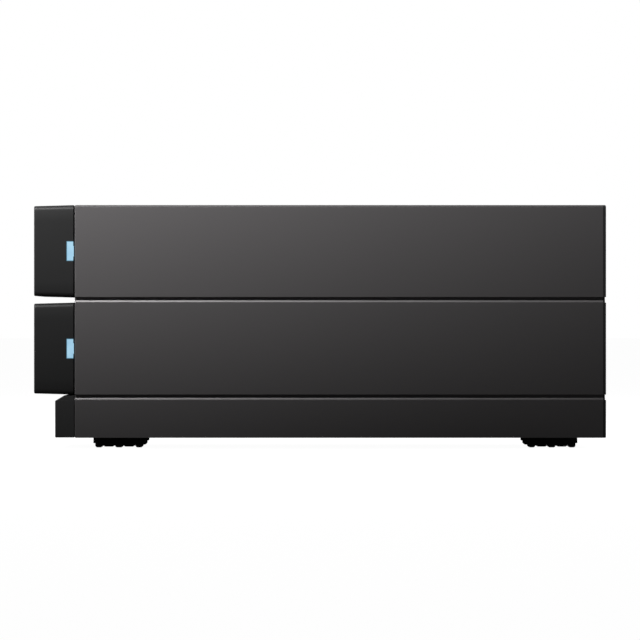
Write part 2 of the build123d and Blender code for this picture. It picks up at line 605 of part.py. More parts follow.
def release_button():
    """Push piece that frees the lever."""
    y = (Y_FRONT + 0.15, Y_FRONT + 5.0)
    button = block(RELEASE_X, y, (-LEVER_HALF, LEVER_HALF))
    button = fillet(button.faces().sort_by(Axis.Y)[0].edges(), 0.4)
    dish = Pos((RELEASE_X[0] + RELEASE_X[1]) / 2, y[0] - 22.4, 0) * Rot(0, 90, 0) * Cylinder(23.0, 8.6)
    button -= dish
    middle = (RELEASE_X[0] + RELEASE_X[1]) / 2
    return button - rod_y(3.2, middle, (y[1] - 2.0, y[1] + 1), 0)


def release_spring():
    middle = (RELEASE_X[0] + RELEASE_X[1]) / 2
    length = 10.0 - 3.0
    return Pos(middle, Y_FRONT + 3.0, 0) * Rot(-90, 0, 0) * coil(0.3, 2.4, length, 5)


def lock_barrel():
    """Coin lock: a slotted barrel with a tongue behind the recess."""
    barrel = rod_y(3.5, LOCK_X, (Y_FRONT + 0.2, Y_FRONT + 13.4), 0)
    barrel = chamfer(barrel.faces().sort_by(Axis.Y)[0].edges(), 0.3)
    barrel -= block((LOCK_X - 2.7, LOCK_X + 2.7), (Y_FRONT, Y_FRONT + 1.8), (-0.55, 0.55))
    tongue = block((LOCK_X - 5.0, LOCK_X), (Y_FRONT + 12.0, Y_FRONT + 13.4), (-1.6, 1.6))
    return barrel + tongue


def light_pipe():
    """Clear piece that brings the drive's status light to a window in the bezel's side."""
    y_window = (Y_BEZEL_BACK - 2.6, Y_BEZEL_BACK - 0.1)
    edge = BEZEL_WIDTH / 2 - BEZEL_DRAFT * 2.7 / BEZEL_DEPTH
    pipe = block((edge - 2.4, edge), y_window, (-3.75, 3.75))
    pipe += block((edge - 9.6, edge - 2.0), (y_window[1] - 1.2, y_window[1]), (-2.0, 2.0))
    return pipe + block((edge - 9.6, edge - 7.8), (y_window[1] - 1.2, y_window[1] + 3.4), (-2.0, 2.0))


def tray_frame():
    """Sled: slotted floor, front wall, rear bar and two side walls with their running ribs."""
    z_floor = (DRIVE_Z[0] - 1.6, DRIVE_Z[0])
    y = (Y_BEZEL_BACK, DRIVE_Y[1] + 1.0)
    edge = TRAY_X[1]
    frame = block((-edge, edge), y, z_floor)
    for y_slot in spread(-14.0, 5, 25.0):
        for x in spread(0.0, 3, 28.0):
            slot = block((x - 9, x + 9), (y_slot - 9, y_slot + 9), (z_floor[0] - 1, z_floor[1] + 1))
            frame -= fillet(edges_along(slot, Axis.Z), 2.5)
    frame += both_sides(block(TRAY_X, y, (z_floor[0], DRIVE_Z[0] + 18)))
    frame += both_sides(block((edge, edge + 1.2), (-84.0, y[1]), (RIB_Z + 2.5, RIB_Z + 5.5)))
    frame += block((-edge, edge), (y[0], y[0] + 2.3), (z_floor[0], -z_floor[0]))
    for x in spread(0.0, 7, 12.0):
        frame -= block((x - 4, x + 4), (y[0] - 1, y[0] + 3), (-9, 9))
    frame -= block((46.4, 52.0), (y[0] - 1, y[0] + 3), (-3, 3))
    for y_screw in SCREW_Y:
        hole = rod_x(1.75, (TRAY_X[0] - 1, edge + 1), y_screw, SCREW_Z)
        sink = rod_x(2.9, (edge - 0.9, edge + 1), y_screw, SCREW_Z)
        frame -= both_sides(hole + sink)
    return frame


def drive_screws():
    """Four side screws that hold the drive in its tray."""
    screws = Part()
    for y in SCREW_Y:
        head = rod_x(2.75, (TRAY_X[1] - 0.9, TRAY_X[1]), y, SCREW_Z)
        shank = rod_x(1.6, (DRIVE_WIDTH / 2 - 3, TRAY_X[1] - 0.9), y, SCREW_Z)
        screw = head + shank
        for turn in (0, 90):
            cross = block((TRAY_X[1] - 0.5, TRAY_X[1] + 1), (-1.7, 1.7), (-0.3, 0.3))
            screw -= Pos(0, y, SCREW_Z) * Rot(turn, 0, 0) * cross
        screws += both_sides(screw)
    return screws


def drive_casting():
    """The drive's body, with its board recess, connector notch and side screw holes."""
    half = DRIVE_WIDTH / 2
    body = block((-half, half), DRIVE_Y, (DRIVE_Z[0], DRIVE_Z[1] - 1.5))
    body = fillet(edges_along(body, Axis.Z), 2.0)
    body -= block((-40, 49), (-62, DRIVE_Y[1] - 3), (DRIVE_Z[0] - 1, DRIVE_Z[0] + 1.9))
    notch_x = (SOCKET_X[0] - 2, SOCKET_X[1] + 1.6)
    body -= block(notch_x, (DRIVE_Y[1] - 7, DRIVE_Y[1] + 1), (DRIVE_Z[0] - 1, DRIVE_Z[0] + 9.2))
    for y in SCREW_Y:
        body -= both_sides(rod_x(1.7, (half - 3.4, half + 1), y, SCREW_Z))
    return body


def drive_cover():
    """Stamped top cover: a stepped plate with a round spindle boss and its pivot boss."""
    half = DRIVE_WIDTH / 2 - 1.2
    z = (DRIVE_Z[1] - 1.5, DRIVE_Z[1] - 0.5)
    plate = block((-half, half), (DRIVE_Y[0] + 1.5, DRIVE_Y[1] - 1.5), z)
    plate = fillet(edges_along(plate, Axis.Z), 4.0)
    step = block((-half + 6, half - 6), (DRIVE_Y[0] + 8, DRIVE_Y[1] - 22), (z[1], DRIVE_Z[1] - 0.1))
    plate += fillet(edges_along(step, Axis.Z), 9.0)
    plate += rod_z(7.0, -28.0, DRIVE_Y[1] - 13, (z[1], DRIVE_Z[1] - 0.1))
    for x in (-half + 3.2, half - 3.2):
        for y in (DRIVE_Y[0] + 5, (DRIVE_Y[0] + DRIVE_Y[1]) / 2, DRIVE_Y[1] - 5):
            plate -= rod_z(2.0, x, y, (z[0] + 0.5, z[1] + 1))
    return plate


def drive_board():
    """The drive's own circuit board with its connector block and tongue."""
    z = DRIVE_Z[0]
    board = block((-38, 47), (-60, DRIVE_Y[1] - 6.8), (z + 0.2, z + 1.5))
    plug_x = (SOCKET_X[0] - 1, SOCKET_X[1] + 1)
    board += block(plug_x, (DRIVE_Y[1] - 6.8, DRIVE_Y[1] - 2.6), (z + 0.2, z + 8.8))
    tongue_x = (SOCKET_X[0] + 1.0, SOCKET_X[1] - 1.0)
    return board + block(tongue_x, (DRIVE_Y[1] - 3.0, DRIVE_Y[1] + 0.2), (z + 4.5, z + 5.9))


def save_tray(level, middle):
    """Writes every piece of one tray, at its tier."""
    pieces = {
        "tray_bezel": tray_bezel(),
        "tray_lever": tray_lever(),
        "lever_pin": lever_pin(),
        "lever_spring": lever_spring(),
        "release_button": release_button(),
        "release_spring": release_spring(),
        "lock_barrel": lock_barrel(),
        "light_pipe": light_pipe(),
        "tray_frame": tray_frame(),
        "drive_screws": drive_screws(),
        "drive_casting": drive_casting(),
        "drive_cover": drive_cover(),
        "drive_board": drive_board(),
    }
    for name, shape in pieces.items():
        save(f"{name}_{level}", Pos(0, 0, middle) * shape)


save("enclosure_shell", enclosure_shell())
save("base_plate", base_plate())
save("base_screws", base_screws())
save("chassis_posts", chassis_posts())
for end, y_foot in FOOT_Y.items():
    for side, x_foot in (("left", -FOOT_X), ("right", FOOT_X)):
        save(f"foot_{end}_{side}", Pos(x_foot, 0, 0) * foot(y_foot))
save("front_fascia", front_fascia())
save("power_button", power_button())
save("power_button_spring", power_button_spring())
save("rear_panel", rear_panel())
save("rear_screws", rear_screws())
save("fan_frame", fan_frame())
save("fan_rotor", fan_rotor())
save("fan_stator", fan_stator())
save("fan_screws", fan_screws())
save("drive_cage", drive_cage())
save("backplane_board", backplane_board())
save("drive_sockets", drive_sockets())
save("main_board", main_board())
save("board_slot", board_slot())
save("board_components", board_components())
save("heatsink", heatsink())
save("network_jack_a", network_jack(JACK_X["network_a"]))
save("network_jack_b", network_jack(JACK_X["network_b"]))
save("usb_stack", usb_stack())
save("usb_front_socket", usb_front_socket())
save("power_jack", power_jack())
save("reset_button", reset_button())
for level, middle in TIERS.items():
    rail = Pos(0, 0, middle) * guide_rail(RIB_Z)
    save(f"guide_rail_{level}_right", rail)
    save(f"guide_rail_{level}_left", mirror(rail, about=Plane.YZ))
    save_tray(level, middle)
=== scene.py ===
import json
import math

import bmesh
import bpy
from mathutils import Matrix, Vector


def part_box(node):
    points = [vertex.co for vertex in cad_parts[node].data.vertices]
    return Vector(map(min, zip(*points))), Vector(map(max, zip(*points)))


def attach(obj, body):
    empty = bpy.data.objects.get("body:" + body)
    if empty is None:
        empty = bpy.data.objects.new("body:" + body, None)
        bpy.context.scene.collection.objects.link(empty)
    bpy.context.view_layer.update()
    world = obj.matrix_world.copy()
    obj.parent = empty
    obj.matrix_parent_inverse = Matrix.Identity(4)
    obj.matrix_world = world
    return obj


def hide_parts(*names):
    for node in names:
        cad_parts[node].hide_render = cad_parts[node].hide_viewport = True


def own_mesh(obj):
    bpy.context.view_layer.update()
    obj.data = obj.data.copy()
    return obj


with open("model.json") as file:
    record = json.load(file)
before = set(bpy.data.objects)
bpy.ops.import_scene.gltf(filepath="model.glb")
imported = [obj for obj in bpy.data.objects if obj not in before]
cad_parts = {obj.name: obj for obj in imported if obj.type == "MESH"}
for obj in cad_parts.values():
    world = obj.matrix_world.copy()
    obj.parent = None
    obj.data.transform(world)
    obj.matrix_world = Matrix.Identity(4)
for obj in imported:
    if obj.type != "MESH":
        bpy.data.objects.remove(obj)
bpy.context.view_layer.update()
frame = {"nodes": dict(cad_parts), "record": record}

print("frame loaded:", len(frame["nodes"]), "nodes")

scene = bpy.context.scene
scene.view_settings.view_transform = "Standard"
levels = ("lower", "upper")
white = (1, 1, 1, 1)
weld = 0.000002  # points nearer than this are merged


# camera, floor and light
cameraSet = {"place": (3.389, 0.0, 0.0485), "turn": (90, 0, 90), "lens": 493.9, "sensor": 36,
             "near": 0.1, "far": 60}

camera = bpy.data.objects.new("camera", bpy.data.cameras.new("camera"))
camera.location = cameraSet["place"]
camera.rotation_euler = [math.radians(angle) for angle in cameraSet["turn"]]
camera.data.lens = cameraSet["lens"]
camera.data.sensor_width = cameraSet["sensor"]
camera.data.clip_start = cameraSet["near"]
camera.data.clip_end = cameraSet["far"]
scene.collection.objects.link(camera)
scene.camera = camera


def addNode(tree, kind, **settings):
    # a node with its properties, and its inputs by name or number
    node = tree.nodes.new(kind)
    for key, value in settings.pop("inputs", {}).items():
        node.inputs[key].default_value = value
    for key, value in settings.items():
        setattr(node, key, value)
    return node


roomSet = {"seen": 1.0, "glow": 0.078, "floorTone": 0.15, "floorLift": 0.97, "floorSize": 20,
           "floorDrop": 0.0002}


def makeRoom():
    # the room is white to look at and throws a weaker, even light
    world = bpy.data.worlds.new("studio")
    scene.world = world
    world.use_nodes = True
    tree = world.node_tree
    tree.nodes.clear()
    seen = addNode(tree, "ShaderNodeBackground", inputs={"Color": white, "Strength": roomSet["seen"]})
    glow = addNode(tree, "ShaderNodeBackground", inputs={"Color": white, "Strength": roomSet["glow"]})
    rays = addNode(tree, "ShaderNodeLightPath")
    mix = addNode(tree, "ShaderNodeMixShader")
    out = addNode(tree, "ShaderNodeOutputWorld")
    tree.links.new(rays.outputs["Is Camera Ray"], mix.inputs[0])
    tree.links.new(glow.outputs[0], mix.inputs[1])
    tree.links.new(seen.outputs[0], mix.inputs[2])
    tree.links.new(mix.outputs[0], out.inputs[0])


def makeFloor():
    # a pale floor just under the feet, lifted to the white of the room
    bm = bmesh.new()
    bmesh.ops.create_grid(bm, x_segments=1, y_segments=1, size=roomSet["floorSize"])
    mesh = bpy.data.meshes.new("floor")
    bm.to_mesh(mesh)
    bm.free()
    floor = bpy.data.objects.new("floor", mesh)
    floor.location.z = -roomSet["floorDrop"]
    scene.collection.objects.link(floor)
    material = bpy.data.materials.new("paleFloor")
    material.use_nodes = True
    tree = material.node_tree
    tree.nodes.clear()
    tone = roomSet["floorTone"]
    paint = addNode(tree, "ShaderNodeBsdfDiffuse", inputs={"Color": (tone, tone, tone, 1)})
    lift = addNode(tree, "ShaderNodeEmission", inputs={"Color": white})
    rays = addNode(tree, "ShaderNodeLightPath")
    amount = addNode(tree, "ShaderNodeMath", operation="MULTIPLY", inputs={1: roomSet["floorLift"]})
    both = addNode(tree, "ShaderNodeAddShader")
    out = addNode(tree, "ShaderNodeOutputMaterial")
    tree.links.new(rays.outputs["Is Camera Ray"], amount.inputs[0])
    tree.links.new(amount.outputs[0], lift.inputs["Strength"])
    tree.links.new(paint.outputs[0], both.inputs[0])
    tree.links.new(lift.outputs[0], both.inputs[1])
    tree.links.new(both.outputs[0], out.inputs["Surface"])
    mesh.materials.append(material)


lampSet = {
    "key": {"place": (0.453, -0.356, 0.483), "aim": (0.06, -0.281, 0.554), "size": (0.10, 0.10),
            "power": 18.5, "spread": 120},
    "top": {"place": (0.05, -0.05, 1.20), "aim": (0, 0, 0.05), "size": (0.60, 0.60),
            "power": 1.0, "spread": 160},
    "back": {"place": (-0.60, 1.30, 0.75), "aim": (0, 0, 0.05), "size": (0.90, 0.60),
             "power": 15.0, "spread": 160},
    "front": {"place": (-0.70, -1.30, 0.42), "aim": (0, 0, 0.05), "size": (0.80, 0.60),
              "power": 5.5, "spread": 160},
}


def makeLamps():
    for name, lamp in lampSet.items():
        data = bpy.data.lights.new(name, "AREA")
        data.shape = "RECTANGLE"
        data.size, data.size_y = lamp["size"]
        data.energy = lamp["power"]
        data.spread = math.radians(lamp["spread"])
        light = bpy.data.objects.new(name, data)
        light.location = lamp["place"]
        aim = Vector(lamp["aim"]) - light.location
        light.rotation_euler = aim.to_track_quat("-Z", "Y").to_euler()
        scene.collection.objects.link(light)


makeRoom()
makeFloor()
makeLamps()
print("room, floor and lamps made")


# shared surface effects
def newGroup(name, inputs, outputs):
    group = bpy.data.node_groups.new(name, "ShaderNodeTree")
    for socketName, value in inputs.items():
        socket = group.interface.new_socket(socketName, in_out="INPUT", socket_type="NodeSocketFloat")
        socket.default_value = value
    for socketName in outputs:
        group.interface.new_socket(socketName, in_out="OUTPUT", socket_type="NodeSocketFloat")
    start = group.nodes.new("NodeGroupInput")
    end = group.nodes.new("NodeGroupOutput")
    return group, start, end


def makeGrainGroup():
    # fine moulded or blasted grain for the bump, and a slow variation for colour and gloss
    group, start, end = newGroup("surfaceGrain", {"Fineness": 2500.0, "Drift": 18.0}, ("Grain", "Drift"))
    place = addNode(group, "ShaderNodeTexCoord")
    fine = addNode(group, "ShaderNodeTexNoise", inputs={"Detail": 3.0, "Roughness": 0.6})
    slow = addNode(group, "ShaderNodeTexNoise", inputs={"Detail": 4.0, "Roughness": 0.55})
    for node, size in ((fine, "Fineness"), (slow, "Drift")):
        group.links.new(place.outputs["Object"], node.inputs["Vector"])
        group.links.new(start.outputs[size], node.inputs["Scale"])
    group.links.new(fine.outputs["Fac"], end.inputs["Grain"])
    group.links.new(slow.outputs["Fac"], end.inputs["Drift"])
    return group


def makeRubGroup():
    # rounded edges that hands and cloths have rubbed a little paler
    group, start, end = newGroup("edgeRub", {"Amount": 0.4}, ("Mask",))
    edge = addNode(group, "ShaderNodeAttribute", attribute_name="rub")
    place = addNode(group, "ShaderNodeTexCoord")
    patches = addNode(group, "ShaderNodeTexNoise", inputs={"Scale": 220.0, "Detail": 5.0})
    broken = addNode(group, "ShaderNodeMapRange", inputs={"From Min": 0.3, "From Max": 0.7})
    both = addNode(group, "ShaderNodeMath", operation="MULTIPLY")
    scaled = addNode(group, "ShaderNodeMath", operation="MULTIPLY")
    group.links.new(place.outputs["Object"], patches.inputs["Vector"])
    group.links.new(patches.outputs["Fac"], broken.inputs["Value"])
    group.links.new(edge.outputs["Fac"], both.inputs[0])
    group.links.new(broken.outputs[0], both.inputs[1])
    group.links.new(both.outputs[0], scaled.inputs[0])
    group.links.new(start.outputs["Amount"], scaled.inputs[1])
    group.links.new(scaled.outputs[0], end.inputs["Mask"])
    return group


def makeDustGroup():
    # a thin film of dust on what faces up
    group, start, end = newGroup("dustFilm", {"Amount": 0.1}, ("Mask",))
    shape = addNode(group, "ShaderNodeNewGeometry")
    split = addNode(group, "ShaderNodeSeparateXYZ")
    up = addNode(group, "ShaderNodeMapRange", inputs={"From Min": 0.3, "From Max": 1.0})
    place = addNode(group, "ShaderNodeTexCoord")
    specks = addNode(group, "ShaderNodeTexNoise", inputs={"Scale": 900.0, "Detail": 6.0, "Roughness": 0.7})
    spread = addNode(group, "ShaderNodeMapRange", inputs={"From Min": 0.45, "From Max": 0.75})
    both = addNode(group, "ShaderNodeMath", operation="MULTIPLY")
    scaled = addNode(group, "ShaderNodeMath", operation="MULTIPLY")
    group.links.new(shape.outputs["Normal"], split.inputs[0])
    group.links.new(split.outputs["Z"], up.inputs["Value"])
    group.links.new(place.outputs["Object"], specks.inputs["Vector"])
    group.links.new(specks.outputs["Fac"], spread.inputs["Value"])
    group.links.new(up.outputs[0], both.inputs[0])
    group.links.new(spread.outputs[0], both.inputs[1])
    group.links.new(both.outputs[0], scaled.inputs[0])
    group.links.new(start.outputs["Amount"], scaled.inputs[1])
    group.links.new(scaled.outputs[0], end.inputs["Mask"])
    return group


def makeBoxGroup():
    # 1 inside a box on the piece, 0 outside, with a narrow soft edge
    group, start, end = newGroup(
        "insideBox",
        {"Low X": -1, "High X": 1, "Low Y": -1, "High Y": 1, "Low Z": -1, "High Z": 1},
        ("Mask",),
    )
    place = addNode(group, "ShaderNodeTexCoord")
    split = addNode(group, "ShaderNodeSeparateXYZ")
    group.links.new(place.outputs["Object"], split.inputs[0])
    total = None
    for axis in "XYZ":
        for word, operation in (("Low", "GREATER_THAN"), ("High", "LESS_THAN")):
            test = addNode(group, "ShaderNodeMath", operation=operation)
            group.links.new(split.outputs[axis], test.inputs[0])
            group.links.new(start.outputs[f"{word} {axis}"], test.inputs[1])
            if total is None:
                total = test
                continue
            product = addNode(group, "ShaderNodeMath", operation="MULTIPLY")
            group.links.new(total.outputs[0], product.inputs[0])
            group.links.new(test.outputs[0], product.inputs[1])
            total = product
    group.links.new(total.outputs[0], end.inputs["Mask"])
    return group


grainGroup = makeGrainGroup()
rubGroup = makeRubGroup()
dustGroup = makeDustGroup()
boxGroup = makeBoxGroup()
print("shared effects made")


def useGroup(tree, group, **values):
    node = tree.nodes.new("ShaderNodeGroup")
    node.node_tree = group
    for key, value in values.items():
        node.inputs[key.replace("_", " ")].default_value = value
    return node


def blendColour(tree, factor, first, second):
    # first and second are colours or sockets, factor is a socket or a number
    mix = addNode(tree, "ShaderNodeMix", data_type="RGBA")
    for index, value in ((6, first), (7, second)):
        if isinstance(value, tuple):
            mix.inputs[index].default_value = (*value, 1)
        else:
            tree.links.new(value, mix.inputs[index])
    if isinstance(factor, float):
        mix.inputs[0].default_value = factor
    else:
        tree.links.new(factor, mix.inputs[0])
    return mix.outputs[2]


# what a finish has where its own entry in looks says nothing
plainLook = {"metal": 0.0, "ior": 1.5, "specular": 0.5, "coat": 0.0, "coatRoughness": 0.3, "roughness": 0.5,
             "unevenness": 0.06, "fineness": 2500.0, "drift": 18.0, "change": 0.06, "bump": 0.15,
             "depth": 0.00005, "rub": 0.0, "rubColour": (0.4, 0.4, 0.4), "dust": 0.0,
             "dustColour": (0.45, 0.43, 0.40)}


def makeFinish(name, ownLook):
    # a grained finish: colour drift, rubbed edges, dust, uneven gloss and a fine bump
    look = {**plainLook, **ownLook}
    material = bpy.data.materials.new(name)
    material.use_nodes = True
    tree = material.node_tree
    shader = tree.nodes["Principled BSDF"]
    shader.inputs["Metallic"].default_value = look["metal"]
    shader.inputs["IOR"].default_value = look["ior"]
    shader.inputs["Specular IOR Level"].default_value = look["specular"]
    shader.inputs["Coat Weight"].default_value = look["coat"]
    shader.inputs["Coat Roughness"].default_value = look["coatRoughness"]
    grain = useGroup(tree, grainGroup, Fineness=look["fineness"], Drift=look["drift"])
    colour, change = look["colour"], look["change"]
    darker = tuple(channel * (1 - change) for channel in colour)
    paler = tuple(min(1, channel * (1 + change)) for channel in colour)
    tone = blendColour(tree, grain.outputs["Drift"], darker, paler)
    if look["rub"]:
        rub = useGroup(tree, rubGroup, Amount=look["rub"])
        tone = blendColour(tree, rub.outputs[0], tone, look["rubColour"])
    if look["dust"]:
        dust = useGroup(tree, dustGroup, Amount=look["dust"])
        tone = blendColour(tree, dust.outputs[0], tone, look["dustColour"])
    tree.links.new(tone, shader.inputs["Base Color"])
    low, high = look["roughness"] - look["unevenness"], look["roughness"] + look["unevenness"]
    gloss = addNode(
        tree, "ShaderNodeMapRange", inputs={"From Min": 0.3, "From Max": 0.7, "To Min": low, "To Max": high}
    )
    tree.links.new(grain.outputs["Drift"], gloss.inputs["Value"])
    tree.links.new(gloss.outputs[0], shader.inputs["Roughness"])
    bump = addNode(tree, "ShaderNodeBump", inputs={"Strength": look["bump"], "Distance": look["depth"]})
    tree.links.new(grain.outputs["Grain"], bump.inputs["Height"])
    tree.links.new(bump.outputs[0], shader.inputs["Normal"])
    return material


def paintRegion(material, colour, box, roughness=None, metal=None):
    # gives one box-shaped region of a piece its own colour, gloss and metal
    tree = material.node_tree
    shader = tree.nodes["Principled BSDF"]
    low, high = box
    mask = useGroup(
        tree, boxGroup, Low_X=low[0], High_X=high[0], Low_Y=low[1], High_Y=high[1],
        Low_Z=low[2], High_Z=high[2],
    )
    base = shader.inputs["Base Color"].links[0].from_socket
    tree.links.new(blendColour(tree, mask.outputs[0], base, colour), shader.inputs["Base Color"])
    for name, value in (("Roughness", roughness), ("Metallic", metal)):
        if value is None:
            continue
        mix = addNode(tree, "ShaderNodeMix", data_type="FLOAT")
        tree.links.new(mask.outputs[0], mix.inputs[0])
        socket = shader.inputs[name]
        if socket.is_linked:
            tree.links.new(socket.links[0].from_socket, mix.inputs[2])
        else:
            mix.inputs[2].default_value = socket.default_value
        mix.inputs[3].default_value = value
        tree.links.new(mix.outputs[0], socket)


def wear(node, material):
    # a CAD piece keeps its mesh and takes this material
    slots = frame["nodes"][node].data.materials
    if len(slots):
        for index in range(len(slots)):
            slots[index] = material
    else:
        slots.append(material)


def addPiece(name, bm, material, body, smooth=35):
    # finishes a bmesh as an object that rides on a body
    mesh = bpy.data.meshes.new(name)
    bm.to_mesh(mesh)
    bm.free()
    mesh.materials.clear()
    mesh.materials.append(material)
    for face in mesh.polygons:
        face.use_smooth = True
        face.material_index = 0
    mesh.set_sharp_from_angle(angle=math.radians(smooth))
    piece = bpy.data.objects.new(name, mesh)
    scene.collection.objects.link(piece)
    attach(piece, body)
    return piece


bodyOf = {node: body for body, nodes in frame["record"]["behaviour"]["bodies"].items() for node in nodes}


crownSet = {"reach": 0.0060, "drop": 0.00036, "skin": 0.0022, "cuts": (1.0, 0.8, 0.6, 0.4, 0.2)}


def crownSides(bm):
    # the two outer sides curve gently inwards towards their top and bottom edges
    low = min(v.co.z for v in bm.verts)
    high = max(v.co.z for v in bm.verts)
    wide = max(v.co.x for v in bm.verts)
    reach, skin, cuts = crownSet["reach"], crownSet["skin"], crownSet["cuts"]
    for height in [low + reach * cut for cut in cuts] + [high - reach * cut for cut in cuts]:
        sides = [f for f in bm.faces if all(abs(v.co.x) > wide - skin for v in f.verts)]
        around = set(sides) | {e for f in sides for e in f.edges} | {v for f in sides for v in f.verts}
        bmesh.ops.bisect_plane(
            bm, geom=list(around), plane_co=(0, 0, height), plane_no=(0, 0, 1), dist=weld / 2
        )
    for vert in bm.verts:
        near = max(0, 1 - min(vert.co.z - low, high - vert.co.z) / reach)
        outer = max(0, (abs(vert.co.x) - (wide - skin)) / skin)
        vert.co.x -= math.copysign(crownSet["drop"] * near * near * outer, vert.co.x)


edgeSet = {"segments": 2, "sharper": 28, "flat": 0.6, "smooth": 50}


def softenEdges(node, material, width, crowned=False):
    # the same shape with its edges slightly rounded, in place of the CAD piece
    bm = bmesh.new()
    bm.from_mesh(frame["nodes"][node].data)
    bmesh.ops.remove_doubles(bm, verts=bm.verts, dist=weld)
    flat, sharper = math.radians(edgeSet["flat"]), math.radians(edgeSet["sharper"])
    bmesh.ops.dissolve_limit(bm, angle_limit=flat, verts=bm.verts, edges=bm.edges)
    if crowned:
        crownSides(bm)
    rubbed = bm.faces.layers.float.new("rub")
    crisp = [e for e in bm.edges if len(e.link_faces) == 2 and e.calc_face_angle(0) > sharper]
    made = bmesh.ops.bevel(
        bm, geom=crisp, offset=width, offset_type="OFFSET", affect="EDGES", segments=edgeSet["segments"],
        profile=0.5, material=-1, clamp_overlap=True, miter_outer="ARC", miter_inner="SHARP",
    )
    for face in made["faces"]:
        face[rubbed] = 1.0
    piece = addPiece(node + "Finish", bm, material, bodyOf[node], smooth=edgeSet["smooth"])
    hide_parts(node)
    weighted = piece.modifiers.new("flatFaces", "WEIGHTED_NORMAL")
    weighted.keep_sharp = True
    return piece


# finishes
looks = {
    "shellMetal": {"colour": (0.121, 0.1155, 0.1175), "metal": 0.15, "roughness": 0.62, "unevenness": 0.01,
                   "specular": 0.22, "fineness": 4200.0, "drift": 9.0, "change": 0.015, "bump": 0.2,
                   "depth": 0.00004, "rub": 0.2, "rubColour": (0.24, 0.24, 0.24), "dust": 0.03},
    "frontPlastic": {"colour": (0.0142, 0.0142, 0.0145), "roughness": 0.48, "specular": 0.48,
                     "unevenness": 0.02, "change": 0.02, "fineness": 3400.0, "bump": 0.25, "rub": 0.15,
                     "rubColour": (0.06, 0.06, 0.06)},
    "fasciaPlastic": {"colour": (0.030, 0.030, 0.0305), "roughness": 0.5, "specular": 0.6, "unevenness": 0.02,
                      "fineness": 3400.0, "bump": 0.25, "rub": 0.2,
                      "rubColour": (0.06, 0.06, 0.06)},
    "leverPlastic": {"colour": (0.036, 0.036, 0.037), "roughness": 0.36, "unevenness": 0.05,
                     "fineness": 3000.0, "bump": 0.18, "rub": 0.35, "rubColour": (0.12, 0.12, 0.12)},
    "rearPlastic": {"colour": (0.024, 0.024, 0.0245), "roughness": 0.55, "unevenness": 0.05,
                    "fineness": 2200.0, "bump": 0.35, "depth": 0.00007, "rub": 0.2,
                    "rubColour": (0.06, 0.06, 0.06), "dust": 0.06},
    "footRubber": {"colour": (0.045, 0.045, 0.045), "roughness": 0.82, "unevenness": 0.08, "fineness": 1800.0,
                   "bump": 0.4, "depth": 0.00008, "specular": 0.3, "dust": 0.1},
    "baseSheet": {"colour": (0.055, 0.055, 0.057), "metal": 0.3, "roughness": 0.6, "fineness": 1500.0,
                  "bump": 0.5, "depth": 0.0001, "rub": 0.3, "rubColour": (0.2, 0.2, 0.2)},
    "cageSheet": {"colour": (0.42, 0.42, 0.43), "metal": 1.0, "roughness": 0.38, "unevenness": 0.1,
                  "fineness": 600.0, "drift": 40.0, "change": 0.15, "bump": 0.08},
    "blackScrew": {"colour": (0.05, 0.05, 0.053), "metal": 0.9, "roughness": 0.36, "fineness": 2500.0,
                   "rub": 0.5, "rubColour": (0.35, 0.35, 0.36)},
    "brightScrew": {"colour": (0.56, 0.56, 0.58), "metal": 1.0, "roughness": 0.28, "fineness": 2500.0},
    "postBrass": {"colour": (0.66, 0.50, 0.24), "metal": 1.0, "roughness": 0.32, "change": 0.12},
    "fanPlastic": {"colour": (0.016, 0.016, 0.016), "roughness": 0.45, "fineness": 2600.0, "bump": 0.12},
    "railPlastic": {"colour": (0.60, 0.59, 0.55), "roughness": 0.5, "fineness": 2400.0, "bump": 0.1},
    "windings": {"colour": (0.48, 0.20, 0.08), "metal": 0.9, "roughness": 0.35, "fineness": 5000.0,
                 "bump": 0.5, "change": 0.3},
    "heatsinkBlack": {"colour": (0.03, 0.03, 0.031), "metal": 0.6, "roughness": 0.5},
    "connectorPlastic": {"colour": (0.014, 0.014, 0.014), "roughness": 0.5, "fineness": 3000.0, "bump": 0.1},
    "tinShield": {"colour": (0.55, 0.55, 0.53), "metal": 1.0, "roughness": 0.3, "unevenness": 0.08,
                  "fineness": 900.0, "change": 0.1, "bump": 0.06, "rub": 0.4, "rubColour": (0.8, 0.8, 0.78)},
    "springWire": {"colour": (0.50, 0.50, 0.51), "metal": 1.0, "roughness": 0.25},
    "lockNickel": {"colour": (0.42, 0.42, 0.43), "metal": 1.0, "roughness": 0.24, "unevenness": 0.06,
                   "fineness": 1800.0, "bump": 0.05, "rub": 0.5, "rubColour": (0.8, 0.8, 0.8)},
    "driveCasting": {"colour": (0.34, 0.34, 0.35), "metal": 0.9, "roughness": 0.45, "unevenness": 0.08,
                     "fineness": 1300.0, "bump": 0.35, "depth": 0.00008, "change": 0.1},
    "driveCover": {"colour": (0.30, 0.30, 0.31), "metal": 0.9, "roughness": 0.44, "unevenness": 0.06,
                   "fineness": 700.0, "drift": 30.0, "bump": 0.05},
    "goldContact": {"colour": (0.78, 0.56, 0.22), "metal": 1.0, "roughness": 0.26, "change": 0.08},
    "trimRing": {"colour": (0.36, 0.36, 0.37), "metal": 1.0, "roughness": 0.3, "fineness": 3000.0},
    "trayPlastic": {"colour": (0.022, 0.022, 0.023), "roughness": 0.5, "fineness": 2600.0, "bump": 0.2,
                    "rub": 0.3, "rubColour": (0.1, 0.1, 0.1)},
}
finishes = {name: makeFinish(name, look) for name, look in looks.items()}


lightWindow = {"colour": (0.402, 0.672, 0.847), "strength": 0.91, "edge": (0.33, 0.59, 0.79),
               "rimColour": (0.10, 0.24, 0.34), "rim": 0.00022, "unlit": (0.05, 0.08, 0.10),
               "roughness": 0.35}


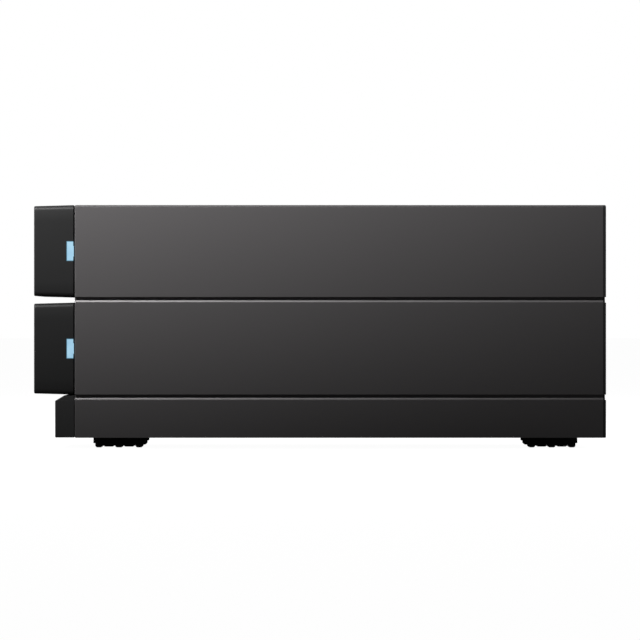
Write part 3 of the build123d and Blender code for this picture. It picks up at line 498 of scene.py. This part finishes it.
def makeLightMaterial(level):
    # a clear window lit from inside: a touch deeper in places, and dim along its rim
    material = bpy.data.materials.new(f"statusLight_{level}")
    material.use_nodes = True
    tree = material.node_tree
    shader = tree.nodes["Principled BSDF"]
    shader.inputs["Base Color"].default_value = (*lightWindow["unlit"], 1)
    shader.inputs["Roughness"].default_value = lightWindow["roughness"]
    shader.inputs["Emission Strength"].default_value = lightWindow["strength"]
    place = addNode(tree, "ShaderNodeTexCoord")
    cloud = addNode(tree, "ShaderNodeTexNoise", inputs={"Scale": 260.0, "Detail": 2.0})
    spread = addNode(tree, "ShaderNodeMapRange", inputs={"From Min": 0.3, "From Max": 0.55})
    tree.links.new(place.outputs["Object"], cloud.inputs["Vector"])
    tree.links.new(cloud.outputs["Fac"], spread.inputs["Value"])
    tone = blendColour(tree, spread.outputs[0], lightWindow["edge"], lightWindow["colour"])
    low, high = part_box(f"light_pipe_{level}")
    rim = lightWindow["rim"]
    core = useGroup(
        tree, boxGroup, Low_X=-1, High_X=1, Low_Y=low.y + rim, High_Y=1,
        Low_Z=low.z + rim, High_Z=high.z - rim,
    )
    lit = blendColour(tree, core.outputs[0], lightWindow["rimColour"], tone)
    tree.links.new(lit, shader.inputs["Emission Color"])
    return material


boardLook = {"mask": (0.010, 0.060, 0.030), "trace": (0.016, 0.095, 0.048), "pad": (0.80, 0.58, 0.26),
             "coat": 0.3, "traceScale": 420.0, "padScale": 330.0, "padSize": 0.13,
             "maskRoughness": 0.35, "padRoughness": 0.28}


def makeBoardMaterial():
    # solder mask over traces, with gold pads
    material = bpy.data.materials.new("circuitBoard")
    material.use_nodes = True
    tree = material.node_tree
    shader = tree.nodes["Principled BSDF"]
    shader.inputs["Coat Weight"].default_value = boardLook["coat"]
    place = addNode(tree, "ShaderNodeTexCoord")
    brick = {"Scale": boardLook["traceScale"], "Mortar Size": 0.12, "Brick Width": 2.6}
    runs = addNode(tree, "ShaderNodeTexBrick", inputs=brick)
    dots = addNode(tree, "ShaderNodeTexVoronoi", inputs={"Scale": boardLook["padScale"]})
    isRun = addNode(tree, "ShaderNodeMath", operation="GREATER_THAN", inputs={1: 0.5})
    isPad = addNode(tree, "ShaderNodeMath", operation="LESS_THAN", inputs={1: boardLook["padSize"]})
    bump = addNode(tree, "ShaderNodeBump", inputs={"Strength": 0.3, "Distance": 0.00004})
    for node in (runs, dots):
        tree.links.new(place.outputs["Object"], node.inputs["Vector"])
    tree.links.new(runs.outputs["Fac"], isRun.inputs[0])
    tree.links.new(dots.outputs["Distance"], isPad.inputs[0])
    green = blendColour(tree, isRun.outputs[0], boardLook["trace"], boardLook["mask"])
    tree.links.new(blendColour(tree, isPad.outputs[0], green, boardLook["pad"]), shader.inputs["Base Color"])
    tree.links.new(isPad.outputs[0], shader.inputs["Metallic"])
    gloss = {"To Min": boardLook["maskRoughness"], "To Max": boardLook["padRoughness"]}
    rough = addNode(tree, "ShaderNodeMapRange", inputs=gloss)
    tree.links.new(isPad.outputs[0], rough.inputs["Value"])
    tree.links.new(rough.outputs[0], shader.inputs["Roughness"])
    tree.links.new(runs.outputs["Fac"], bump.inputs["Height"])
    tree.links.new(bump.outputs[0], shader.inputs["Normal"])
    return material


# the bright band painted on each groove chamfer: the cut metal's own colour and a painted highlight
grooveHighlightSet = {"low": (0.0181, 0.0551), "from": 0.00028, "to": 0.00092, "inner": 0.0584, "outer": 0.0592,
             "reach": 0.2, "colour": (0.43, 0.417, 0.422), "roughness": 0.45, "metal": 1.0}


def paintGrooveHighlights():
    # the chamfer under each groove is cut after anodising, so it is bright metal; the bright band is painted
    # only on its upper part, so it is also a painted highlight where light from above falls
    reach = grooveHighlightSet["reach"]
    for low in grooveHighlightSet["low"]:
        bottom, top = low + grooveHighlightSet["from"], low + grooveHighlightSet["to"]
        for side in (-1, 1):
            left, right = sorted((side * grooveHighlightSet["inner"], side * grooveHighlightSet["outer"]))
            box = ((left, -reach, bottom), (right, reach, top))
            # painted highlight: a bright metal band over the upper part of the chamfer
            paintRegion(
                finishes["shellMetal"], grooveHighlightSet["colour"], box, grooveHighlightSet["roughness"], grooveHighlightSet["metal"]
            )


paintGrooveHighlights()
for level in levels:
    finishes[f"light_pipe_{level}"] = makeLightMaterial(level)


socketSet = {
    "black": (0.014, 0.014, 0.014), "blackRoughness": 0.5,
    "networkSide": 0.0017, "networkFloor": 0.0015, "networkRoof": 0.0016, "networkLip": 0.0005,
    "usbSide": 0.0009, "usbLip": 0.001, "tongueUnder": 0.00005, "tongueOver": 0.00185,
    "pinHalf": 0.0015, "pinHeight": (0.0143, 0.0173), "pinLip": 0.0008,
    "pinColour": (0.6, 0.6, 0.58), "pinRoughness": 0.25,
}
tongueHeights = {"usb_stack": (0.0040, 0.0121), "usb_front_socket": (0.0032,)}  # undersides, above the foot


def makeSocketFinishes():
    # bright shields whose linings and tongues are black, and a plastic jack with a metal pin
    black, blackRoughness = socketSet["black"], socketSet["blackRoughness"]
    for letter in "ab":
        low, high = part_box(f"network_jack_{letter}")
        side = socketSet["networkSide"]
        floor, roof = low.z + socketSet["networkFloor"], high.z - socketSet["networkRoof"]
        lining = ((low.x + side, 0, floor), (high.x - side, high.y - socketSet["networkLip"], roof))
        finish = makeFinish(f"networkShield{letter.upper()}", looks["tinShield"])
        paintRegion(finish, black, lining, blackRoughness, 0.0)
        finishes[f"network_jack_{letter}"] = finish
    for node, name in (("usb_stack", "usbShield"), ("usb_front_socket", "usbFrontShield")):
        low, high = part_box(node)
        left, right = low.x + socketSet["usbSide"], high.x - socketSet["usbSide"]
        front, back = 0, high.y - socketSet["usbLip"]
        if node == "usb_front_socket":
            front, back = low.y + socketSet["usbLip"], 0
        finishes[node] = makeFinish(name, looks["tinShield"])
        for height in tongueHeights[node]:
            under = low.z + height - socketSet["tongueUnder"]
            over = low.z + height + socketSet["tongueOver"]
            tongue = ((left, front, under), (right, back, over))
            paintRegion(finishes[node], black, tongue, blackRoughness, 0.0)
    low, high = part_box("power_jack")
    middle, half = (low.x + high.x) / 2, socketSet["pinHalf"]
    bottom, top = socketSet["pinHeight"]
    pin = ((middle - half, 0, bottom), (middle + half, high.y - socketSet["pinLip"], top))
    finishes["power_jack"] = makeFinish("jackPlastic", looks["connectorPlastic"])
    paintRegion(finishes["power_jack"], socketSet["pinColour"], pin, socketSet["pinRoughness"], 1.0)


makeSocketFinishes()
finishes["circuitBoard"] = makeBoardMaterial()
print("finishes made:", len(finishes))


# the CAD pieces' finishes
finishOf = {
    "enclosure_shell": "shellMetal", "base_plate": "baseSheet", "base_screws": "blackScrew",
    "chassis_posts": "postBrass", "front_fascia": "fasciaPlastic", "power_button": "leverPlastic",
    "power_button_spring": "springWire", "rear_panel": "rearPlastic", "rear_screws": "blackScrew",
    "fan_frame": "fanPlastic", "fan_rotor": "fanPlastic", "fan_stator": "windings",
    "fan_screws": "blackScrew",
    "drive_cage": "cageSheet", "backplane_board": "circuitBoard", "drive_sockets": "connectorPlastic",
    "main_board": "circuitBoard", "board_slot": "connectorPlastic", "board_components": "connectorPlastic",
    "heatsink": "heatsinkBlack", "network_jack_a": "network_jack_a", "network_jack_b": "network_jack_b",
    "usb_stack": "usb_stack", "usb_front_socket": "usb_front_socket", "power_jack": "power_jack",
    "reset_button": "connectorPlastic",
}
for end in ("front", "rear"):
    for side in ("left", "right"):
        finishOf[f"foot_{end}_{side}"] = "footRubber"
trayFinish = {
    "tray_bezel": "frontPlastic", "tray_lever": "leverPlastic", "lever_pin": "springWire",
    "lever_spring": "springWire", "release_button": "leverPlastic", "release_spring": "springWire",
    "lock_barrel": "lockNickel", "tray_frame": "trayPlastic",
    "drive_screws": "brightScrew", "drive_casting": "driveCasting", "drive_cover": "driveCover",
    "drive_board": "circuitBoard",
}
for level in levels:
    for side in ("left", "right"):
        finishOf[f"guide_rail_{level}_{side}"] = "railPlastic"
    for piece, finish in trayFinish.items():
        finishOf[f"{piece}_{level}"] = finish
    finishOf[f"light_pipe_{level}"] = f"light_pipe_{level}"
for node, finish in finishOf.items():
    wear(node, finishes[finish])

# pieces whose edges catch the light
softWidths = {
    "enclosure_shell": 0.00018, "front_fascia": 0.00025, "power_button": 0.0002, "base_plate": 0.00015,
}
for level in levels:
    softWidths[f"tray_bezel_{level}"] = 0.0002
    softWidths[f"tray_lever_{level}"] = 0.0003
    softWidths[f"release_button_{level}"] = 0.0002
for node, width in softWidths.items():
    softenEdges(node, finishes[finishOf[node]], width, crowned="bezel" in node)
print("edges softened:", len(softWidths))


def addBar(bm, low, high, tilt=0.0):
    # a bar between two corners, tilted about its own middle round X
    verts = bmesh.ops.create_cube(bm, size=1)["verts"]
    low, high = Vector(low), Vector(high)
    bmesh.ops.scale(bm, vec=high - low, verts=verts)
    bmesh.ops.rotate(bm, cent=(0, 0, 0), matrix=Matrix.Rotation(math.radians(tilt), 3, "X"), verts=verts)
    bmesh.ops.translate(bm, vec=(low + high) / 2, verts=verts)


def softenBars(bm, width):
    # a narrow round on every edge of the bars
    bmesh.ops.bevel(bm, geom=bm.edges[:], offset=width, offset_type="OFFSET", affect="EDGES", segments=2,
                    profile=0.5, material=-1)


contactSet = {"wires": 8, "pitch": 0.00102, "wide": 0.00045, "thick": 0.0003, "drop": 0.0035,
              "front": 0.0015, "back": 0.0090, "tilt": 17, "edge": 0.00008}


def makeNetworkContacts(letter):
    # eight sprung wires slope down from the roof of the socket
    low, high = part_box(f"network_jack_{letter}")
    middle, half = (low.x + high.x) / 2, contactSet["wide"] / 2
    back, front = high.y - contactSet["back"], high.y - contactSet["front"]
    z = high.z - contactSet["drop"]
    bm = bmesh.new()
    for index in range(contactSet["wires"]):
        x = middle + (index - (contactSet["wires"] - 1) / 2) * contactSet["pitch"]
        addBar(bm, (x - half, back, z), (x + half, front, z + contactSet["thick"]), contactSet["tilt"])
    softenBars(bm, contactSet["edge"])
    addPiece(f"networkContacts{letter.upper()}", bm, finishes["goldContact"], "enclosure")


usbSet = {"strips": 4, "pitch": 0.0024, "wide": 0.0011, "thick": 0.00012, "sink": 0.0001, "length": 0.0072,
          "rearLip": 0.0018, "frontLip": 0.0019, "edge": 0.00004}


def makeUsbContacts(name, node, mouth):
    # gilt strips along the underside of each tongue; mouth is -1 for a socket that faces -Y
    low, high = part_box(node)
    middle, half = (low.x + high.x) / 2, usbSet["wide"] / 2
    end = high.y - usbSet["rearLip"] if mouth > 0 else low.y + usbSet["frontLip"]
    front, back = sorted((end, end - mouth * usbSet["length"]))
    bm = bmesh.new()
    for height in tongueHeights[node]:
        z = low.z + height
        for index in range(usbSet["strips"]):
            x = middle + (index - (usbSet["strips"] - 1) / 2) * usbSet["pitch"]
            addBar(bm, (x - half, front, z - usbSet["thick"]), (x + half, back, z + usbSet["sink"]))
    softenBars(bm, usbSet["edge"])
    addPiece(name, bm, finishes["goldContact"], "enclosure")


lensSet = {"green": (0.10, 0.75, 0.22), "amber": (0.95, 0.45, 0.06), "power": 0.35, "dim": 0.6,
           "roughness": 0.3, "aside": 0.0046, "half": 0.0013, "low": 0.00125, "high": 0.00045,
           "sunk": 0.0004, "proud": 0.0001, "edge": 0.00012}


def makeLensMaterial(name, colour):
    # a small diffusing lens, lit a little unevenly
    material = bpy.data.materials.new(name)
    material.use_nodes = True
    tree = material.node_tree
    shader = tree.nodes["Principled BSDF"]
    shader.inputs["Roughness"].default_value = lensSet["roughness"]
    shader.inputs["Emission Strength"].default_value = lensSet["power"]
    grain = useGroup(tree, grainGroup, Fineness=3000.0, Drift=900.0)
    dim = tuple(channel * lensSet["dim"] for channel in colour)
    tone = blendColour(tree, grain.outputs["Drift"], dim, colour)
    tree.links.new(tone, shader.inputs["Base Color"])
    tree.links.new(tone, shader.inputs["Emission Color"])
    return material


def makeNetworkLamps():
    # two little lenses in the top corners of each network socket
    half = lensSet["half"]
    for side, name in ((-1, "green"), (1, "amber")):
        bm = bmesh.new()
        for letter in "ab":
            low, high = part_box(f"network_jack_{letter}")
            x = (low.x + high.x) / 2 + side * lensSet["aside"]
            nearCorner = (x - half, high.y - lensSet["sunk"], high.z - lensSet["low"])
            farCorner = (x + half, high.y + lensSet["proud"], high.z - lensSet["high"])
            addBar(bm, nearCorner, farCorner)
        softenBars(bm, lensSet["edge"])
        lens = makeLensMaterial(f"{name}Lens", lensSet[name])
        addPiece(f"networkLamps_{name}", bm, lens, "enclosure")


for letter in "ab":
    makeNetworkContacts(letter)
makeUsbContacts("usbContactsRear", "usb_stack", 1)
makeUsbContacts("usbContactsFront", "usb_front_socket", -1)
makeNetworkLamps()
print("socket details made")


def spinRound(bm, profile, centre, steps=64):
    # turns a line of (radius, y) points once round the Y axis through the centre
    verts = [bm.verts.new((centre[0] + radius, y, centre[2])) for radius, y in profile]
    edges = [bm.edges.new(pair) for pair in zip(verts, verts[1:])]
    bmesh.ops.spin(
        bm, geom=verts + edges, cent=centre, axis=(0, 1, 0), angle=math.tau, steps=steps, use_merge=True
    )
    bmesh.ops.remove_doubles(bm, verts=bm.verts, dist=weld)


fanSet = {"blades": 7, "root": 0.0138, "tip": 0.0271, "chord": 0.0150, "pitch": 40, "twist": 14, "sweep": 16,
          "camber": 0.0016, "thick": 0.0009, "widen": 0.18, "narrow": 0.25, "depth": 0.008, "shaft": 0.0015,
          "hub": ((0, 0.0003), (0.0118, 0.0003), (0.0132, 0.0006), (0.0140, 0.0013), (0.0143, 0.0024),
                  (0.0143, 0.016), (0.0129, 0.016), (0.0129, 0.0016), (0.0015, 0.0016))}


def addBlade(bm, middle, turn):
    # one swept, twisted and cambered blade from a flat grid
    made = bmesh.ops.create_grid(bm, x_segments=8, y_segments=8, size=0.5)["verts"]
    for vert in made:
        out, along = vert.co.x + 0.5, vert.co.y
        radius = fanSet["root"] + out * (fanSet["tip"] - fanSet["root"])
        chord = fanSet["chord"] * (1 + fanSet["widen"] * out - fanSet["narrow"] * out * out)
        pitch = math.radians(fanSet["pitch"] - fanSet["twist"] * out)
        depth = along * chord * math.sin(pitch) + fanSet["camber"] * (0.25 - along * along) * 4
        around = along * chord * math.cos(pitch) / radius + math.radians(fanSet["sweep"]) * out * out + turn
        aside, up = radius * math.cos(around), radius * math.sin(around)
        vert.co = (middle.x + aside, middle.y + depth, middle.z + up)
    faces = list({face for vert in made for face in vert.link_faces})
    bmesh.ops.solidify(bm, geom=faces, thickness=fanSet["thick"])


def makeFan():
    # blades round a cup-shaped hub with its shaft
    low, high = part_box("fan_rotor")
    frameLow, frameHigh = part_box("fan_frame")
    middle = Vector((0, low.y + fanSet["depth"], frameLow.z / 2 + frameHigh.z / 2))
    bm = bmesh.new()
    for index in range(fanSet["blades"]):
        addBlade(bm, middle, index * math.tau / fanSet["blades"])
    hub = [(radius, low.y + depth) for radius, depth in fanSet["hub"]]
    spinRound(bm, hub + [(fanSet["shaft"], high.y), (0, high.y)], middle)
    bmesh.ops.recalc_face_normals(bm, faces=bm.faces)
    piece = addPiece("fanRotorFinish", bm, finishes["fanPlastic"], "fan_rotor", smooth=40)
    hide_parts("fan_rotor")


ringSet = {"inner": 0.00470, "outer": 0.00512, "edge": 0.00006, "sunk": 0.0003, "steps": 96}


def makePowerRing():
    # a thin bright trim set round the power button
    low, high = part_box("power_button")
    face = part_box("front_fascia")[0].y
    centre = Vector(((low.x + high.x) / 2, 0, (low.z + high.z) / 2))
    bm = bmesh.new()
    inner, outer, edge = ringSet["inner"], ringSet["outer"], ringSet["edge"]
    under, over = face + ringSet["sunk"], face - edge
    profile = [(inner, under), (inner, face), (inner + edge, over), (outer - edge, over), (outer, face),
               (outer, under), (inner, under)]
    spinRound(bm, profile, centre, ringSet["steps"])
    bmesh.ops.recalc_face_normals(bm, faces=bm.faces)
    addPiece("powerRing", bm, finishes["trimRing"], "enclosure", smooth=40)


springSet = {
    "power_button_spring": {"joint": "power_button_press", "body": "enclosure",
                            "wire": 0.00021, "turns": 4},
    "release_spring_lower": {"joint": "release_press_lower", "body": "tray_lower",
                             "wire": 0.00028, "turns": 5},
    "release_spring_upper": {"joint": "release_press_upper", "body": "tray_upper",
                             "wire": 0.00028, "turns": 5},
}
coilSet = {"sides": 10, "stepsPerTurn": 28}


def makeSpring(node):
    # an open coil in place of the CAD spring, riding on its body
    spring = springSet[node]
    low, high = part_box(node)
    wire, steps = spring["wire"], spring["turns"] * coilSet["stepsPerTurn"]
    length = high.y - low.y - 2 * wire
    centre = Vector(((low.x + high.x) / 2, 0, (low.z + high.z) / 2))
    bm = bmesh.new()
    ring = bmesh.ops.create_circle(bm, cap_ends=True, segments=coilSet["sides"], radius=wire)["verts"]
    bmesh.ops.translate(bm, vec=(high.x - wire, low.y + wire, centre.z), verts=ring)
    bmesh.ops.spin(bm, geom=bm.verts[:] + bm.edges[:] + bm.faces[:], cent=centre, axis=(0, 1, 0),
                   dvec=(0, length / steps, 0), angle=math.tau * spring["turns"], steps=steps)
    bmesh.ops.holes_fill(bm, edges=[e for e in bm.edges if e.is_boundary], sides=0)
    bmesh.ops.recalc_face_normals(bm, faces=bm.faces)
    piece = addPiece(node + "Coil", bm, finishes["springWire"], spring["body"], smooth=60)
    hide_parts(node)
    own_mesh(piece)


makeFan()
makePowerRing()
for node in springSet:
    makeSpring(node)
print("fan, power ring and springs made")


labelSet = {"paper": (0.40, 0.40, 0.385), "ink": (0.03, 0.03, 0.032), "band": (0.07, 0.13, 0.17),
            "x": (-0.040, 0.040), "y": (-0.050, 0.030), "thick": 0.0001, "sunk": 0.00002, "corner": 0.0015,
            "gloss": 0.4, "bandRows": (0.014, 0.004), "rows": (0.8, 0.55, 0.7, 0.4), "rowLength": 0.045,
            "rowStart": 0.005, "rowTop": 0.022, "rowPitch": 0.0055, "rowHalf": 0.0011,
            "square": (0.006, 0.022)}


def makeLabelMaterial():
    # plain paper with a coloured band and blank bars where print would be
    material = makeFinish("labelPaper", {"colour": labelSet["paper"], "roughness": 0.45, "fineness": 1500.0,
                                         "bump": 0.05, "change": 0.03, "coat": 0.2})
    (left, right), (low, high) = labelSet["x"], labelSet["y"]
    gloss, half = labelSet["gloss"], labelSet["rowHalf"]
    deep, shallow = labelSet["bandRows"]
    paintRegion(material, labelSet["band"], ((left, high - deep, -1), (right, high - shallow, 1)), gloss)
    for row, reach in enumerate(labelSet["rows"]):
        y = high - labelSet["rowTop"] - row * labelSet["rowPitch"]
        start = left + labelSet["rowStart"]
        bar = ((start, y - half, -1), (start + reach * labelSet["rowLength"], y + half, 1))
        paintRegion(material, labelSet["ink"], bar, gloss)
    near, far = labelSet["square"]
    square = ((right - far, low + near, -1), (right - near, low + far, 1))
    paintRegion(material, labelSet["ink"], square, gloss)
    return material


def makeDriveLabels():
    # a thin sheet with rounded corners on each drive's cover
    paper = makeLabelMaterial()
    for level in levels:
        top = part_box(f"drive_cover_{level}")[1].z
        bm = bmesh.new()
        (left, right), (low, high) = labelSet["x"], labelSet["y"]
        addBar(bm, (left, low, top - labelSet["sunk"]), (right, high, top + labelSet["thick"]))
        upright = [e for e in bm.edges if abs(e.verts[0].co.z - e.verts[1].co.z) > labelSet["thick"] / 2]
        bmesh.ops.bevel(bm, geom=upright, offset=labelSet["corner"], offset_type="OFFSET", affect="EDGES",
                        segments=4, profile=0.5, material=-1)
        addPiece(f"driveLabel_{level}", bm, paper, f"tray_{level}")


makeDriveLabels()
print("drive labels made")
